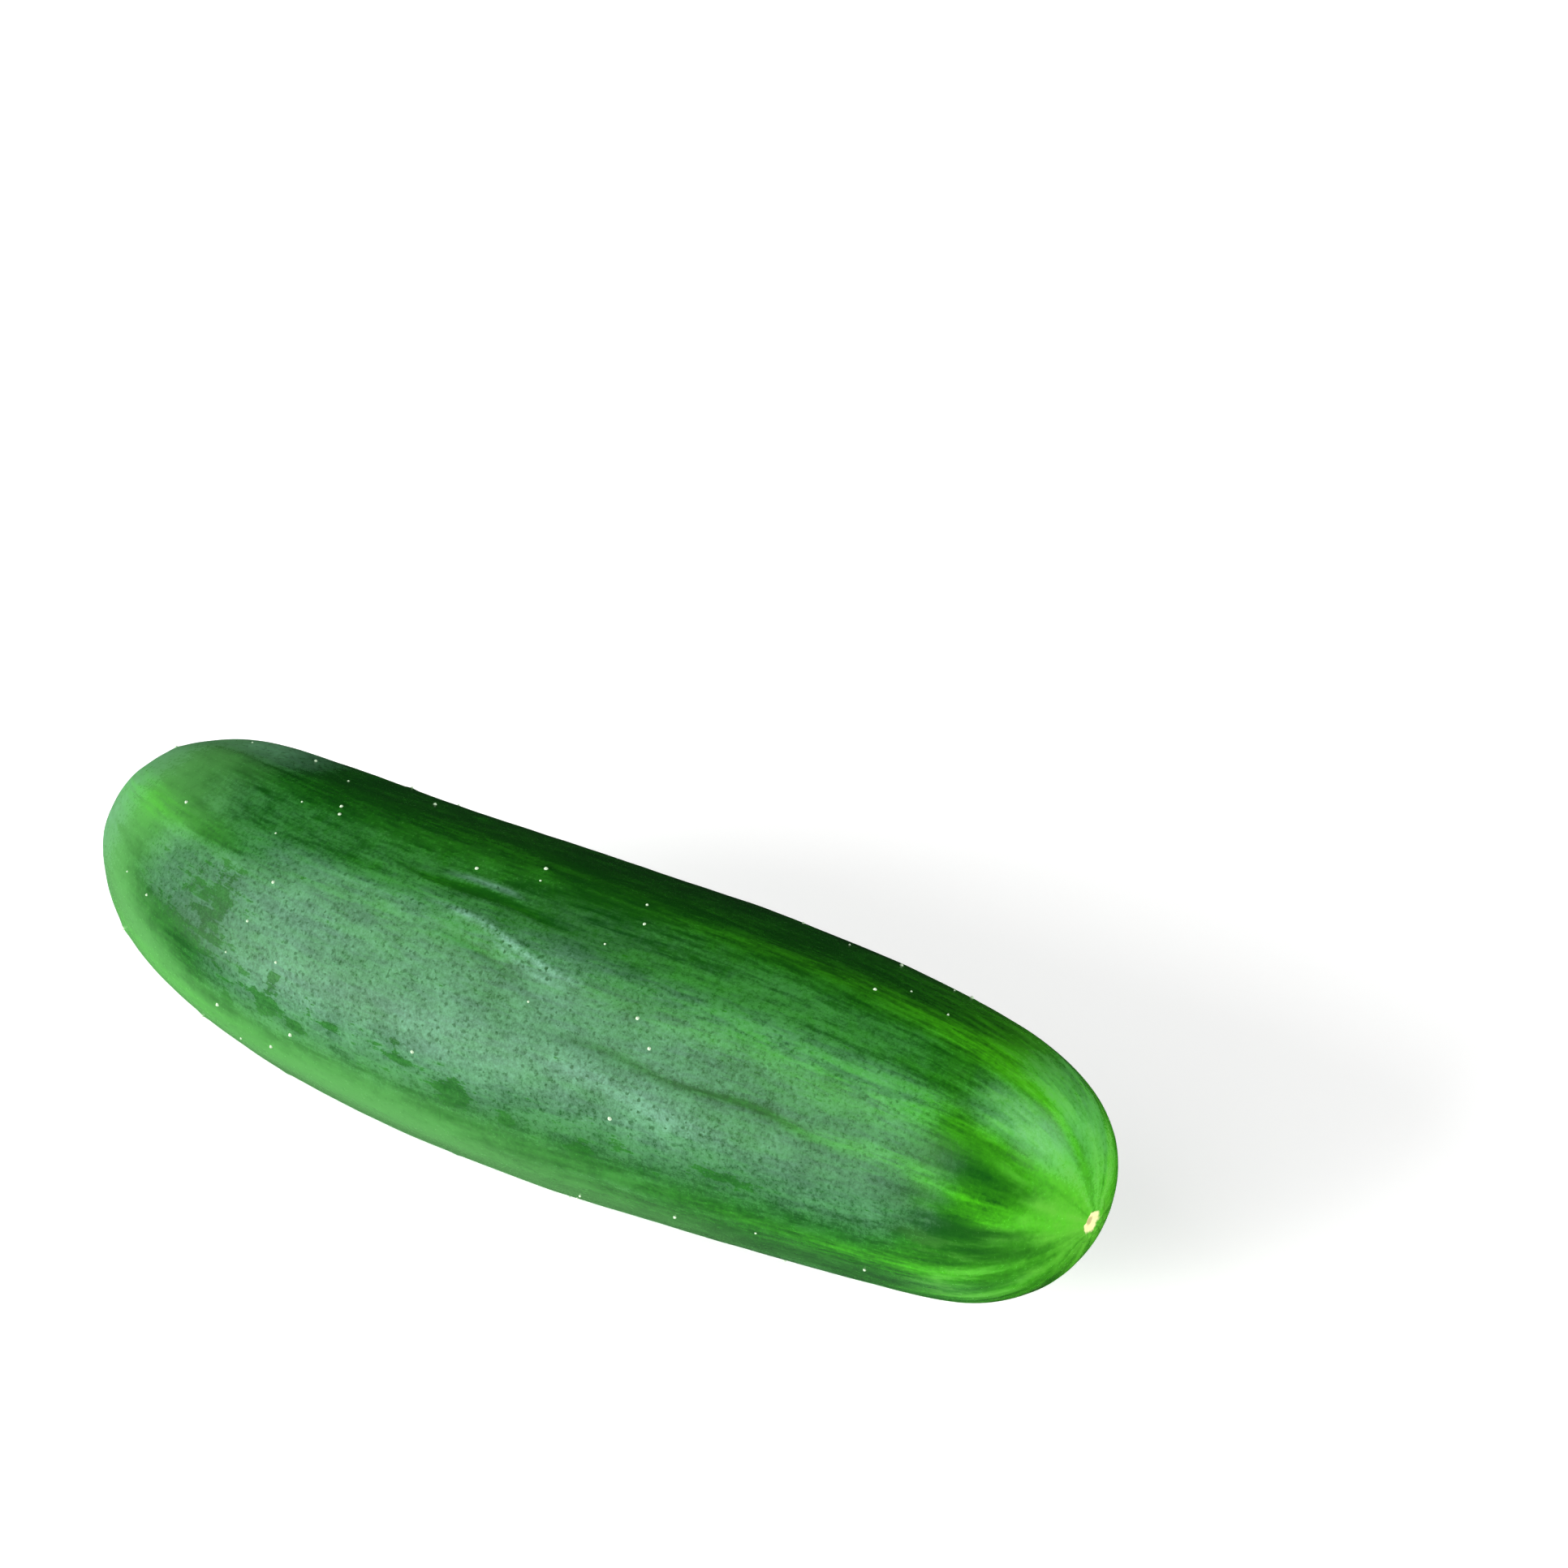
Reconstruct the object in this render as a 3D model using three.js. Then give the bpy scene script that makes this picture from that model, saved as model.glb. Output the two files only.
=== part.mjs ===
// A slicing cucumber, lying on its side: one solid, in millimetres, +Z up.
// The fruit lies along X, with the blossom end at +X and the stem end at -X. The origin is under the
// middle of its bounding box, on the surface that it rests on.
import * as THREE from 'three';
import { mergeVertices } from 'three/addons/utils/BufferGeometryUtils.js';

// Overall shape
const LENGTH = 184;              // from tip to tip of the flesh, without the stem stub
const MAX_RADIUS = 26;
const TAPER = 0.26;              // share of the radius lost towards either tip
const STEM_FULLNESS = 0.017;     // how much fuller than the blossom half the stem half is
const STEM_BLUNTNESS = 7.9;      // higher is a squarer end
const BLOSSOM_BLUNTNESS = 12.4;
const BOW = -7.8;                // how far the middle of the fruit lies off the line of its ends
const SWAY = 11.8;               // how much more the stem half is bowed than the blossom half
const REST_DEPTH = 0.9;          // how far the belly is pressed flat where it lies

// Relief of the skin
const RIB_COUNT = 10;
const RIB_HEIGHT = 0.28;
const FIRST_RIB = THREE.MathUtils.degToRad(-5);
const LOBE_COUNT = 3;
const LOBE_HEIGHT = 0.4;
const FIRST_LOBE = THREE.MathUtils.degToRad(75);
const RIB_WANDER = 0.09;         // in radians
const TIP_SMOOTHNESS = 6;        // higher carries the ribs closer to the tips
const TIP_RADIUS = 10;           // nearer to the axis than this, the relief fades out

// Stem stub and blossom scar
const STUB_RADIUS = 3;
const STUB_HEIGHT = 2.4;
const STUB_FLAT = 0.55;          // radius of its flat top, as a share of its own
const STUB_BEVEL = [0.88, 0.35]; // radius of its bevelled edge, as a share, and depth of the bevel
const STEM_DIMPLE = 1.4;
const STEM_DIMPLE_RADIUS = 7;
const SCAR_RADIUS = 2.5;
const SCAR_RIM = 0.35;
const SCAR_RIM_WIDTH = 0.8;
const SCAR_PIT = 0.6;
const SCAR_PIT_WIDTH = 1.4;

// Fineness of the mesh
const AROUND = 72;
const RINGS = 44;
const BODY_FROM = 9.6;           // the evenly spread rings start where the fruit is this thick
const STEM_RING_RADII = [STUB_RADIUS, 4.2, 6, 8.4];
const BLOSSOM_RING_RADII = [7.8, 5.6, 4, 3.2, SCAR_RADIUS, 1.6, 0];

// Warts that carry the spines. Each one stands in a cell of the mesh.
const WARTS_PER_RIB = 6;
const WART_RADIUS = 0.85;
const WART_HEIGHT = 0.36;
const WART_SHOULDER = 0.35;      // height of a wart's edge, as a share of its own height
const WART_REACH = [-0.84, 0.78];          // first and last place, as shares of the half length
const WART_SCATTER = 0.09;       // along the fruit, as a share of the half length
const WART_CROWDING = 1.15;      // above 1, they lie closer together towards the stem end
const WART_SIZES = [0.75, 1.25]; // smallest and largest, as shares of the radius and height
const WART_COLUMNS = 3;          // cells round the fruit that a rib's warts are scattered over
const WART_CORNERS = 8;
const SEED = 4391;

const HALF = LENGTH / 2;
const AXIS_HEIGHT = MAX_RADIUS - REST_DEPTH;

// u is a place along the fruit, from -1 at the stem end to 1 at the blossom end.
function girth(u) {
  return MAX_RADIUS * (1 - TAPER * u * u - STEM_FULLNESS * u);
}

function bluntness(u) {
  return u < 0 ? STEM_BLUNTNESS : BLOSSOM_BLUNTNESS;
}

function fleshRadius(u) {
  return girth(u) * Math.sqrt(Math.max(0, 1 - Math.abs(u) ** bluntness(u)));
}

// The place along the axis where the flesh has the given small radius, on the side of tip -1 or 1.
function tipAlong(radius, tip) {
  return HALF * tip * (1 - (radius / girth(tip)) ** 2) ** (1 / bluntness(tip));
}

// Ribs and the faint three-sided section of the seed chambers, fading out at both tips.
function relief(u, angle) {
  const fade = 1 - Math.abs(u) ** TIP_SMOOTHNESS;
  const turned = angle + RIB_WANDER * Math.sin(3 * u + 2 * Math.cos(angle));
  const ribs = RIB_HEIGHT * Math.cos(RIB_COUNT * (turned - FIRST_RIB));
  const lobes = LOBE_HEIGHT * Math.cos(LOBE_COUNT * (angle - FIRST_LOBE));
  return fade * (ribs + lobes);
}

// A bell-shaped bump of height 1, centred on the given radius.
function bump(radius, centre, width) {
  return Math.exp(-(((radius - centre) / width) ** 2));
}

// Half the outline of the fruit, from the top of the stem stub to the pit of the blossom scar.
function outline() {
  const stemTop = -HALF + STEM_DIMPLE - STUB_HEIGHT;
  const [bevelShare, bevelDepth] = STUB_BEVEL;
  const points = [
    [0, stemTop],
    [STUB_RADIUS * STUB_FLAT, stemTop],
    [STUB_RADIUS * bevelShare, stemTop + bevelDepth],
  ];
  for (const radius of STEM_RING_RADII) {
    const dimple = STEM_DIMPLE * bump(radius, 0, STEM_DIMPLE_RADIUS);
    points.push([radius, tipAlong(radius, -1) + dimple]);
  }
  for (let ring = 0; ring <= RINGS; ring++) {
    const u = -Math.cos(Math.PI * ring / RINGS);
    if (fleshRadius(u) > BODY_FROM) points.push([fleshRadius(u), HALF * u]);
  }
  for (const radius of BLOSSOM_RING_RADII) {
    const rim = SCAR_RIM * bump(radius, SCAR_RADIUS, SCAR_RIM_WIDTH);
    const pit = SCAR_PIT * bump(radius, 0, SCAR_PIT_WIDTH);
    points.push([radius, tipAlong(radius, 1) + rim - pit]);
  }
  return points.map(([radius, along]) => new THREE.Vector2(radius, along));
}

// Sets a point of the straight fruit on the bowed one. The angle goes from the top to the -Y side.
function place(along, radius, angle) {
  const u = THREE.MathUtils.clamp(along / HALF, -1, 1);
  const beyond = along - u * HALF;
  const slope = (SWAY * (1 - 3 * u * u) - 2 * BOW * u) / HALF;
  const tangent = new THREE.Vector3(1, slope, 0).normalize();
  const front = new THREE.Vector3(tangent.y, -tangent.x, 0);
  return new THREE.Vector3(u * HALF, (1 - u * u) * (BOW + SWAY * u), AXIS_HEIGHT)
    .addScaledVector(tangent, beyond)
    .addScaledVector(front, radius * Math.sin(angle))
    .add(new THREE.Vector3(0, 0, radius * Math.cos(angle)));
}

// A repeatable random number from 0 to 1.
function randomSource(seed) {
  let state = seed;
  return () => {
    state = state * 48271 % 2147483647;
    return state / 2147483647;
  };
}

// The cells of the mesh that carry a wart, in loose rows along the ribs: cell number to wart size.
function wartCells(points) {
  const random = randomSource(SEED);
  const [first, last] = WART_REACH;
  const [smallest, largest] = WART_SIZES;
  const cells = new Map();
  for (let rib = 0; rib < RIB_COUNT; rib++) {
    for (let k = 0; k < WARTS_PER_RIB; k++) {
      const share = (k + 0.5 * (rib % 2)) / WARTS_PER_RIB;
      const u = first + (last - first) * share ** WART_CROWDING + WART_SCATTER * (2 * random() - 1);
      const ring = points.findIndex((point) => point.y > u * HALF) - 1;
      const turn = FIRST_RIB / (2 * Math.PI) + rib / RIB_COUNT;
      const column = Math.floor(turn * AROUND + WART_COLUMNS * random() - 1);
      const cell = (column + AROUND) % AROUND * (points.length - 1) + ring;
      cells.set(cell, smallest + (largest - smallest) * random());
    }
  }
  return cells;
}

// A wart in a cell with the given corner vertices: its own vertices are added to the list, as places
// on the straight fruit, and its faces are returned.
function wartFaces(corners, size, vertices) {
  const [low, , high] = corners.map((corner) => vertices[corner]);
  const along = (low.along + high.along) / 2;
  const angle = (low.angle + high.angle) / 2;
  const radius = fleshRadius(along / HALF);
  const top = radius + WART_HEIGHT * size;
  const first = vertices.length;
  for (let k = 0; k < WART_CORNERS; k++) {
    const turn = 2 * Math.PI * k / WART_CORNERS - 0.75 * Math.PI;
    vertices.push({
      along: along + WART_RADIUS * size * Math.sin(turn),
      radius: radius + WART_HEIGHT * WART_SHOULDER * size,
      angle: angle + WART_RADIUS * size * Math.cos(turn) / radius,
    });
  }
  const tip = vertices.push({ along, radius: top, angle }) - 1;
  const edge = (k) => first + k % WART_CORNERS;
  const faces = [];
  corners.forEach((corner, side) => {
    const next = corners[(side + 1) % corners.length];
    faces.push(corner, next, edge(2 * side + 1));
    faces.push(corner, edge(2 * side + 1), edge(2 * side));
    faces.push(next, edge(2 * side + 2), edge(2 * side + 1));
  });
  for (let k = 0; k < WART_CORNERS; k++) faces.push(edge(k), edge(k + 1), tip);
  return faces;
}

function cucumberGeometry() {
  const points = outline();
  const lathe = new THREE.LatheGeometry(points, AROUND);
  const rings = points.length;
  const vertices = Array.from({ length: lathe.attributes.position.count }, (_, i) => ({
    along: points[i % rings].y,
    radius: points[i % rings].x,
    angle: 2 * Math.PI * Math.floor(i / rings) / AROUND,
  }));
  const warts = wartCells(points);
  const faces = [];
  for (let cell = 0; cell < AROUND * (rings - 1); cell++) {
    const cellFaces = Array.from(lathe.index.array.subarray(6 * cell, 6 * cell + 6));
    const [a, b, d, c] = cellFaces;
    const size = warts.get(cell);
    faces.push(...(size ? wartFaces([a, b, c, d], size, vertices) : cellFaces));
  }
  const positions = vertices.flatMap(({ along, radius, angle }) => {
    const u = THREE.MathUtils.clamp(along / HALF, -1, 1);
    const point = place(along, radius + relief(u, angle) * Math.min(1, radius / TIP_RADIUS), angle);
    return [point.x, point.y, Math.max(0, point.z)];
  });
  const geometry = new THREE.BufferGeometry();
  geometry.setAttribute('position', new THREE.Float32BufferAttribute(positions, 3));
  geometry.setIndex(faces);
  return mergeVertices(geometry);
}

function cucumber() {
  const geometry = cucumberGeometry();
  geometry.computeBoundingBox();
  const { min, max } = geometry.boundingBox;
  geometry.translate(-(min.x + max.x) / 2, -(min.y + max.y) / 2, -min.z);
  geometry.computeVertexNormals();
  const skin = new THREE.MeshStandardMaterial({ color: 0x2f6b32, roughness: 0.38, metalness: 0 });
  const mesh = new THREE.Mesh(geometry, skin);
  mesh.name = 'cucumber';
  return mesh;
}

const group = new THREE.Group();
group.add(cucumber());

export default group;
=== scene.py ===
"""A slicing cucumber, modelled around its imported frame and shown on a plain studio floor."""

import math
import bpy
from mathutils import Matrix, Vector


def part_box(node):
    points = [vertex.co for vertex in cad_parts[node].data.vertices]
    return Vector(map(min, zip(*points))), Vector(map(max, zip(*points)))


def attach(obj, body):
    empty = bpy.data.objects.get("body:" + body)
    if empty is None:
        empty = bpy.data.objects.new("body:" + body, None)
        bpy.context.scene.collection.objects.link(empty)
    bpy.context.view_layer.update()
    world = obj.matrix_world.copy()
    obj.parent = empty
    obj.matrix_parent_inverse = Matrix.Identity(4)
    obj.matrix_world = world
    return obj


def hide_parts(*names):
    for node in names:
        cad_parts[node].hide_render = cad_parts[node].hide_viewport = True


bl_info = {
    "name": "Cucumber",
    "version": (1, 0, 0),
    "blender": (4, 5, 0),
    "location": "View3D > Sidebar > Cucumber",
    "description": "Models a slicing cucumber with its streaked, waxy skin, and a studio stage for it",
    "category": "Object",
}

import bpy
import numpy as np
from mathutils import Vector, noise

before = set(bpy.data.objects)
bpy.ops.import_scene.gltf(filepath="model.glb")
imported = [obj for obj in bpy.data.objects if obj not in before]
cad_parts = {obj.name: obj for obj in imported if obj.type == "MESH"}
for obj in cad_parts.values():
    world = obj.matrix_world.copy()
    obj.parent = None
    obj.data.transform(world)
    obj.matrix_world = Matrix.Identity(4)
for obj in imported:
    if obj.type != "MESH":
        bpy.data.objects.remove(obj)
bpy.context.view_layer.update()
NODE = "cucumber"
BODY = "root"

MM = 0.001

# The mesh cells of the solid, which its warts stand in
CELLS_AROUND = 72
CELLS_ALONG = 44

# Fineness of the skin's mesh
AROUND = 300
SKIN_STEP = 0.8 * MM
TIP_STEP = 0.35 * MM
TIP_ZONE = 11 * MM
OUTLINE_SAMPLES = 4001          # points of the outline that the rings are read off from

# Slow unevenness of the skin, coarse and fine: how fast it changes per mm, how high it is and where
# it starts in the noise
LUMPS = ((0.055, 0.22 * MM, (0, 0, 0)), (0.21, 0.05 * MM, (9, 4, 2)))

# Warts, in loose rows along the ribs
WART_REACH = (-0.84, 0.78)      # first and last place, as shares of the half length
WART_SCATTER = 0.09             # along the fruit, as a share of the half length
WART_CROWDING = 1.15            # above 1, they lie closer together towards the stem end
WART_COLUMNS = 3                # cells round the fruit that a rib's warts are scattered over
WART_SIZES = (0.75, 1.25)
WART_SOFTNESS = 1.15            # radius of a wart on the skin, as a share of the solid's
WART_LOWNESS = 0.5              # its height, as a share of the solid's

# Spines; the profile gives radius and height of each ring, as shares of the spine's radius
SPINE_RADIUS = 0.26 * MM
SPINE_SIDES = 8
SPINE_PROFILE = ((1.35, -0.25), (1.0, 0.1), (0.78, 0.5), (0.42, 0.85))
KEPT_SPINES = 0.5               # share of the warts that still have theirs
STRAY_SPINES = 60               # how many stand apart from the warts
STRAY_REACH = (-0.85, 0.9)      # first and last place, as shares of the half length
STRAY_SIZES = (0.6, 1.2)
LOWEST_SPINE = 0.5 * MM         # spines that are rooted lower would stand in the floor
SPINE_SEED = 12

# Stem stub: radii of its domed top, then radius and depth down its side, as shares of its own
STUB_TOP = (0, 0.12, 0.26, 0.4, 0.55, 0.68, 0.78, 0.86, 0.92)
STUB_SIDE = ((0.955, 0.12), (0.965, 0.3), (0.97, 0.5), (0.985, 0.7), (1.02, 0.86))
STUB_DOME = 0.1                 # how far the top curves down, as a share of the height
STUB_EDGE = 1.05                # the stub ends at this share of its radius
FLESH_START = 1.12              # and the flesh starts at this one

# Waves round the stub and round the scar's rim: how many, their height as a share of the radius and
# their phase in degrees
STUB_WAVES = ((5, 0.07, 22.9), (17, 0.025, 0))
RIM_WAVES = ((5, 0.09, -49.9), (11, 0.05, -90))

# Dimple round the stub and the pleats in it
DIMPLE_RADIUS = 7 * MM
PLEATS = 10
PLEAT_HEIGHT = 0.22 * MM
PLEAT_RADIUS = 5 * MM
PLEAT_WIDTH = 2.6 * MM
PLEAT_SWING = 0.8               # makes the pleats unevenly wide

# Blossom scar: a ragged rim round a pit, with a nub in the middle and cracks
RIM_HEIGHT = 0.35 * MM
RIM_WIDTH = 0.75 * MM
PIT_DEPTH = 0.6 * MM
PIT_WIDTH = 1.4 * MM
NUB_HEIGHT = 0.35 * MM
NUB_WIDTH = 0.5 * MM
CRACKS = 9
FIRST_CRACK = math.radians(-12.73)
CRACK_SHARPNESS = 6
CRACK_DEPTH = 0.1 * MM
CRACK_RADIUS = 1.6 * MM
CRACK_WIDTH = 0.8 * MM

# Radius in mm for the widths of soft patches
MEAN_RADIUS = 24

# How far streaks and creases swing to and fro, in radians, and the length that it takes
STREAK_SWING = 0.03
STREAK_WAVE = 12 * MM
CREASE_SWING = 0.02
CREASE_WAVE = 4 * MM

# Streaks narrow with the fruit where it is thinner than this
STREAK_TAPER_RADIUS = 7 * MM

# Pale skin of the stem end, and a paler belly that is partly painted light from below: from where to
# where along the fruit in mm it comes up
PALE_STEM_END = (-44, -84)
PALE_AND_PAINTED_LIGHT_BELLY = (80, -30)
BELLY_ANGLE = math.radians(135)
BELLY_PALENESS_AND_PAINTED_LIGHT = 1.3
BELLY_NARROWNESS = 7

# Light streaks: angle from the top to the front in degrees, where each one starts and where it is at
# its lightest in mm along the fruit, its half width there in mm, and how light it is
STREAKS = (
    (-58, 50, 84, 2.2, 0.6),
    (-36, 60, 84, 1.8, 0.5),
    (-19, 56, 80, 1.8, 0.3),
    (-8, 58, 80, 2.6, 0.7),
    (-6, 4, 60, 2.0, 0.34),
    (-3, 48, 82, 1.5, 0.9),
    # partly a light streak, partly painted light on the top of the blossom end
    (6, 68, 84, 7.0, 0.8),
    (-31, 44, 82, 6.0, 0.5),
    (22, -70, -20, 8.0, 0.12),
    (-6, -70, -20, 8.0, 0.06),
    (33, 4, 56, 3.0, 0.2),
    (29, 54, 80, 2.0, 0.55),
    (34, 76, 88, 1.3, 0.2),
    (54, 38, 64, 1.3, 0.22),
    (57, 64, 80, 1.2, 0.7),
    (64, 68, 84, 1.1, 0.75),
    (77, 74, 89, 1.4, 0.3),
    (97, 20, 60, 1.3, 0.2),
    (99, 60, 72, 4.0, 0.14),
    (95, 66, 80, 5.0, 0.14),
    (104, 26, 80, 1.8, 0.14),
    (122, 56, 86, 1.8, 0.4),
    (137, 10, 80, 1.5, 0.4),
    (160, 44, 84, 1.4, 0.4),
    (174, 2, 80, 1.7, 0.5),
    (197, 50, 84, 1.2, 0.5),
    (212, -4, 80, 1.7, 0.5),
    (236, 40, 84, 1.4, 0.4),
    (249, 6, 80, 1.7, 0.5),
    (270, 56, 84, 1.4, 0.4),
    (285, 12, 80, 1.6, 0.6),
    (35, -52, -72, 3.2, 0.26),
    (-22, -50, -80, 2.0, 0.2),
    (100, -20, -60, 3.0, 0.15),
    (186, -44, -74, 2.6, 0.3),
    (250, -48, -78, 2.2, 0.3),
)

# Soft patches that are lighter (above 0) or darker (below 0), partly the skin's own blotches and
# dashes and partly painted shade, as on the top and on the front of the blossom end, and painted
# light, as on
# the lower rim there: middle along the fruit, angle, half length and half width in mm, and by how much
TONE_AND_PAINTED_SHADE_PATCHES = (
    (-60, 63, 13, 6, -0.25),
    (-52, 78, 9, 4, -0.1),
    (76, 29, 6, 4, -0.5),
    (79, 42, 7, 5, -0.85),
    (81, 72, 8, 7, -0.9),
    (80, 54, 7, 5, -0.7),
    (78, 94, 8, 3, -0.4),
    # painted light on the lower rim near the blossom end
    (80, 114, 10, 5, 0.35),
    # painted shade along the top of the fruit
    (0, -24, 60, 7, -0.35),
    (-40, -12, 14, 6, -0.25),
    (-38, 10, 10, 5, 0.12),
    (-60, 30, 11, 5, 0.16),
    (0, 13, 16, 3, -0.3),
    (11, 7, 13, 8, -0.8),
    (-20, 104, 26, 5, 0.15),
    (20, 150, 30, 8, 0.2),
    (-40, 210, 18, 8, -0.2),
    (36, 240, 20, 7, -0.2),
    (-10, 290, 30, 6, -0.15),
)

# Fine ridges (height above 0) and furrows (below 0): place along the fruit in mm and angle of both
# ends, half width and height in mm, and how much more (or less) wax lies on them; more wax paints
# highlights along the ridges, and less paints the furrows darker as painted shade
CREASES = (
    ((-16, 7), (-3, 9), 0.7, 0.12, 1.4),
    ((-24, 11), (10, 15), 0.9, -0.16, -0.3),
    ((-16, 20), (13, 33), 0.9, 0.22, 1.8),
    ((-6, 28), (11, 36), 0.6, 0.12, 1.0),
    ((-15, 29), (4, 38), 0.8, -0.14, -0.4),
    ((-36, 27), (-14, 22), 0.8, 0.1, 0.3),
    ((6, 51), (60, 56), 1.1, -0.22, -0.7),
    ((13, 60), (44, 69), 2.1, 0.2, 0.5),
    ((-54, 86), (8, 82), 1.4, -0.12, 0.0),
    ((-8, 101), (44, 101), 1.6, 0.14, 0.2),
    ((-20, 150), (40, 154), 1.6, -0.2, -0.4),
    ((-40, 214), (16, 214), 1.5, -0.2, -0.4),
    ((-38, 221), (22, 222), 1.7, 0.2, 0.5),
    ((-10, 276), (54, 273), 1.4, -0.18, -0.5),
    ((-38, 303), (12, 304), 1.5, 0.18, 0.6),
)

# Where the wax and mist lie as a pale film, which is partly painted highlight and sheen: first and
# last angle in degrees, and from where to where along the fruit in mm, each with how gradually the
# film gives out there, and how thick it is
FILMS_AND_PAINTED_SHEEN = (
    ((24, 12), (88, 26), (-49, 16), (71, 10), 0.62),
    ((42, 10), (80, 12), (72, 8), (78, 6), 0.3),
    ((36, 12), (76, 16), (-47, 16), (44, 36), 0.38),
    ((0, 22), (28, 12), (-66, 18), (70, 24), 0.3),
    ((36, 8), (66, 14), (-66, 14), (-47, 8), 0.65),
    ((3, 14), (26, 16), (76, 14), (88, 8), 1.0),
    ((-42, 10), (-5, 10), (77, 12), (89, 8), 0.6),
    ((-70, 20), (20, 24), (86, 8), (98, 4), 0.25),
    ((-200, 10), (200, 10), (-120, 10), (-79, 20), 1.3),
    ((-42, 26), (-12, 22), (-78, 20), (-56, 20), 1.1),
    ((16, 12), (34, 12), (-22, 16), (12, 12), 0.18),
    ((132, 24), (196, 24), (-52, 50), (70, 20), 0.7),
    ((222, 24), (304, 34), (-44, 50), (74, 16), 0.9),
)

# Where the film is worn ragged: middle along the fruit and angle, half length and half width in mm,
# and how worn it is, from 0 to 1
WORN = (
    (8, 90, 58, 5, 0.21),
    (-30, 76, 26, 3.5, 0.2),
    (-56, 50, 10, 8, 0.34),
    (-45, 60, 5, 12, 0.14),
    (-48, 50, 2.2, 5, 0.36),
    (-61, 68, 9, 4, 0.3),
    (-50, 64, 4, 4, 0.3),
    (-36, 80, 2.2, 2.2, 0.9),
    (-31, 83, 1.8, 1.2, 0.8),
    (-35, 68, 1.0, 1.6, 0.8),
    (-44, 87, 1.3, 1.3, 0.8),
    (-24, 76, 1.6, 0.9, 0.8),
    (-12, 78, 2.4, 0.9, 0.8),
    (-13, 72, 1.0, 1.0, 0.7),
    (-3, 83, 3.4, 2.6, 0.95),
    (6, 86, 1.4, 1.2, 0.8),
    (18, 89, 1.8, 1.6, 0.95),
    (24, 82, 2.2, 0.8, 0.7),
    (42, 81, 6, 1.1, 0.7),
    (-8, 168, 50, 4, 0.34),
    (32, 150, 10, 3, 0.5),
    (8, 262, 16, 5, 0.4),
    (-30, 240, 12, 6, 0.38),
    (50, 285, 10, 3, 0.45),
)

# Noises of the skin: rate per mm, detail and roughness
MOTTLE = (0.21, 6, 0.7)
BLOTCH = (0.055, 3, 0.55)
FLECK = (0.48, 4, 0.7)
GRAIN = (1.4, 3, 0.8)
CORK_GRAIN = (1.3, 5, 0.7)
PORE_RATE = 0.9

# Noises stretched along the fruit: rates across and along it per mm, detail and roughness
FIBRE = (0.42, 0.06, 4, 0.6)
THREAD = (1.0, 0.14, 4, 0.65)
DASH = (0.34, 0.1, 3, 0.6)
BROAD_DASH = (0.13, 0.05, 2, 0.6)

# From where to where along the fruit in mm these come up
TIP_DASHES = (67, 84)
TIP_BROAD_DASHES = (83, 89)
RAYS = (92, 87)
TIP_COLOUR = (87, 95)
STEM_END_PORES = (-88, -70)
BLOSSOM_END_PORES = (84, 66)

SKIN_IOR = 1.45

# Stage, in metres: the softboxes stand off from the point that they light, and daylight comes from
# so far away that only its direction counts
FLOOR_SIZE = 16.0
LIT_POINT = (0, 0, 0.03)
STEM_END = (-0.078, 0.014, 0.045)
FRONT_SOFTBOX = (-0.4715, -0.9775, 0.4945)
END_SOFTBOX = (0.72, 0.27, 0.62)
STEM_SPOT = (-0.36, 0.34, 0.4)
FRONT_DAYLIGHT = (-0.5, -0.85, 0.18)
END_DAYLIGHT = (1.0, 0.2, 0.22)
DAYLIGHT_SPREAD = math.radians(40)
GLOW_TOWARD = (-0.6, -0.4, -0.7)


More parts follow.
